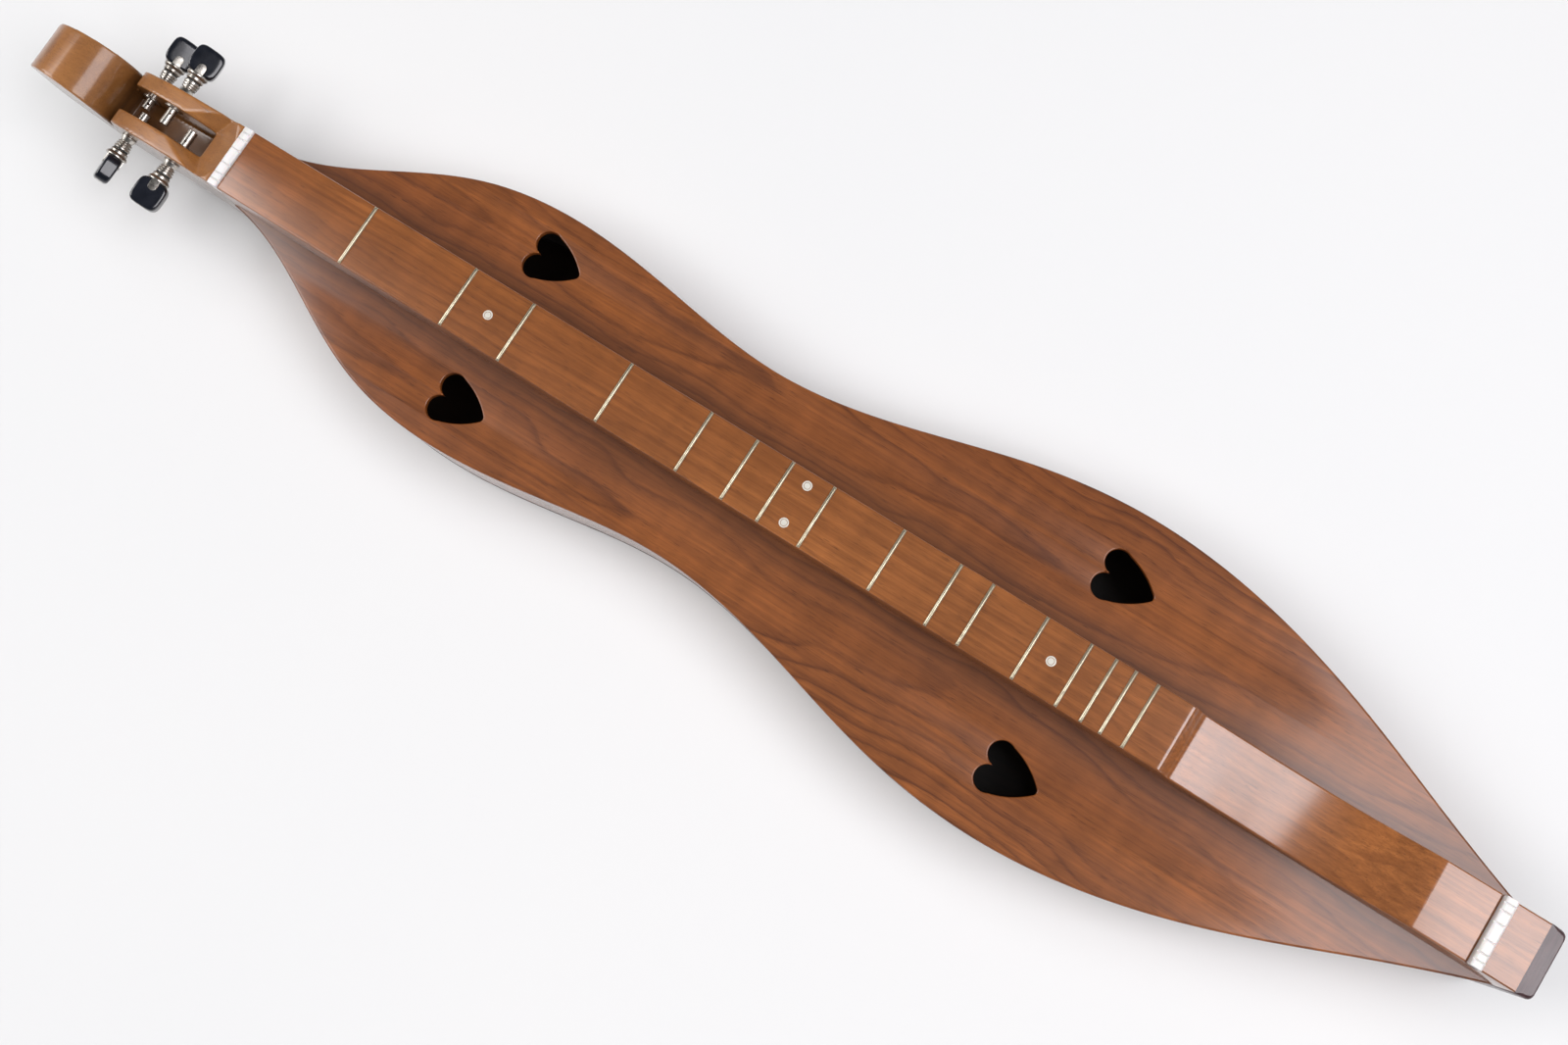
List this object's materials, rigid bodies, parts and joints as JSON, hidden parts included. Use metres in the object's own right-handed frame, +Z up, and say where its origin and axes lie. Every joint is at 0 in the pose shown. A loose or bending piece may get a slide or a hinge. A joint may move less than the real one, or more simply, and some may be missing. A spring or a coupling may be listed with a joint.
{
  "type": "mountain dulcimer",
  "caption": "Mountain dulcimer lying on its back: hourglass walnut sound box with heart sound holes, raised fretboard, scroll peghead and friction tuners.",
  "frame": {"origin": "middle of the bounding box's underside, on the plane of the back", "axes": "+X from the scroll to the tail, +Y to the player's far side, +Z up through the fretboard"},
  "size_m": [0.8654, 0.175, 0.074],
  "materials": {
    "walnut_top": "gloss varnish over straight-grained walnut",
    "walnut_back": "gloss varnish over walnut",
    "walnut_side": "gloss varnish over bent walnut",
    "walnut_head": "gloss varnish over carved wood",
    "walnut_fretboard": "gloss varnish over straight-grained wood",
    "rosewood": "gloss varnish over dark end cap",
    "inner_wood": "softwood stained black",
    "bone": "polished bone",
    "fret_wire": "polished nickel silver",
    "marker": "polished inlay",
    "nickel": "worn nickel plate",
    "fibre": "dark fibre washer",
    "black_plastic": "polished black plastic"
  },
  "bodies": {
    "root": {"soundboard_left": "walnut_top", "soundboard_right": "walnut_top", "back_left": "walnut_back", "back_right": "walnut_back", "side_left": "walnut_side", "side_right": "walnut_side", "peghead": "walnut_head", "fretboard": "walnut_fretboard", "tail_cap": "rosewood", "nut": "bone", "bridge": "bone", "frets": "fret_wire", "marker_dots": "marker", "string_pins": "nickel", "head_block": "inner_wood", "tail_block": "inner_wood", "back_centre_strip": "inner_wood", "top_lining_left": "inner_wood", "top_lining_right": "inner_wood", "back_lining_left": "inner_wood", "back_lining_right": "inner_wood", "back_brace_upper": "inner_wood", "back_brace_waist": "inner_wood", "back_brace_lower": "inner_wood", "top_brace_upper": "inner_wood", "top_brace_lower": "inner_wood", "tuner_1_bushing": "nickel", "tuner_1_ferrule": "nickel", "tuner_1_washer": "fibre", "tuner_2_bushing": "nickel", "tuner_2_ferrule": "nickel", "tuner_2_washer": "fibre", "tuner_3_bushing": "nickel", "tuner_3_ferrule": "nickel", "tuner_3_washer": "fibre", "tuner_4_bushing": "nickel", "tuner_4_ferrule": "nickel", "tuner_4_washer": "fibre"},
    "tuner_1": {"tuner_1_post": "nickel", "tuner_1_collar": "nickel", "tuner_1_button": "black_plastic", "tuner_1_screw": "nickel"},
    "tuner_2": {"tuner_2_post": "nickel", "tuner_2_collar": "nickel", "tuner_2_button": "black_plastic", "tuner_2_screw": "nickel"},
    "tuner_3": {"tuner_3_post": "nickel", "tuner_3_collar": "nickel", "tuner_3_button": "black_plastic", "tuner_3_screw": "nickel"},
    "tuner_4": {"tuner_4_post": "nickel", "tuner_4_collar": "nickel", "tuner_4_button": "black_plastic", "tuner_4_screw": "nickel"}
  },
  "joints": [
    {"name": "tuner_1_turn", "type": "hinge", "parent": "root", "child": "tuner_1", "pos_m": [-0.37425, 0, 0.044], "axis": [0, 1, 0], "continuous": true},
    {"name": "tuner_2_turn", "type": "hinge", "parent": "root", "child": "tuner_2", "pos_m": [-0.35075, 0, 0.058], "axis": [0, 1, 0], "continuous": true},
    {"name": "tuner_3_turn", "type": "hinge", "parent": "root", "child": "tuner_3", "pos_m": [-0.37175, 0, 0.044], "axis": [0, 1, 0], "continuous": true},
    {"name": "tuner_4_turn", "type": "hinge", "parent": "root", "child": "tuner_4", "pos_m": [-0.33405, 0, 0.058], "axis": [0, 1, 0], "continuous": true}
  ]
}
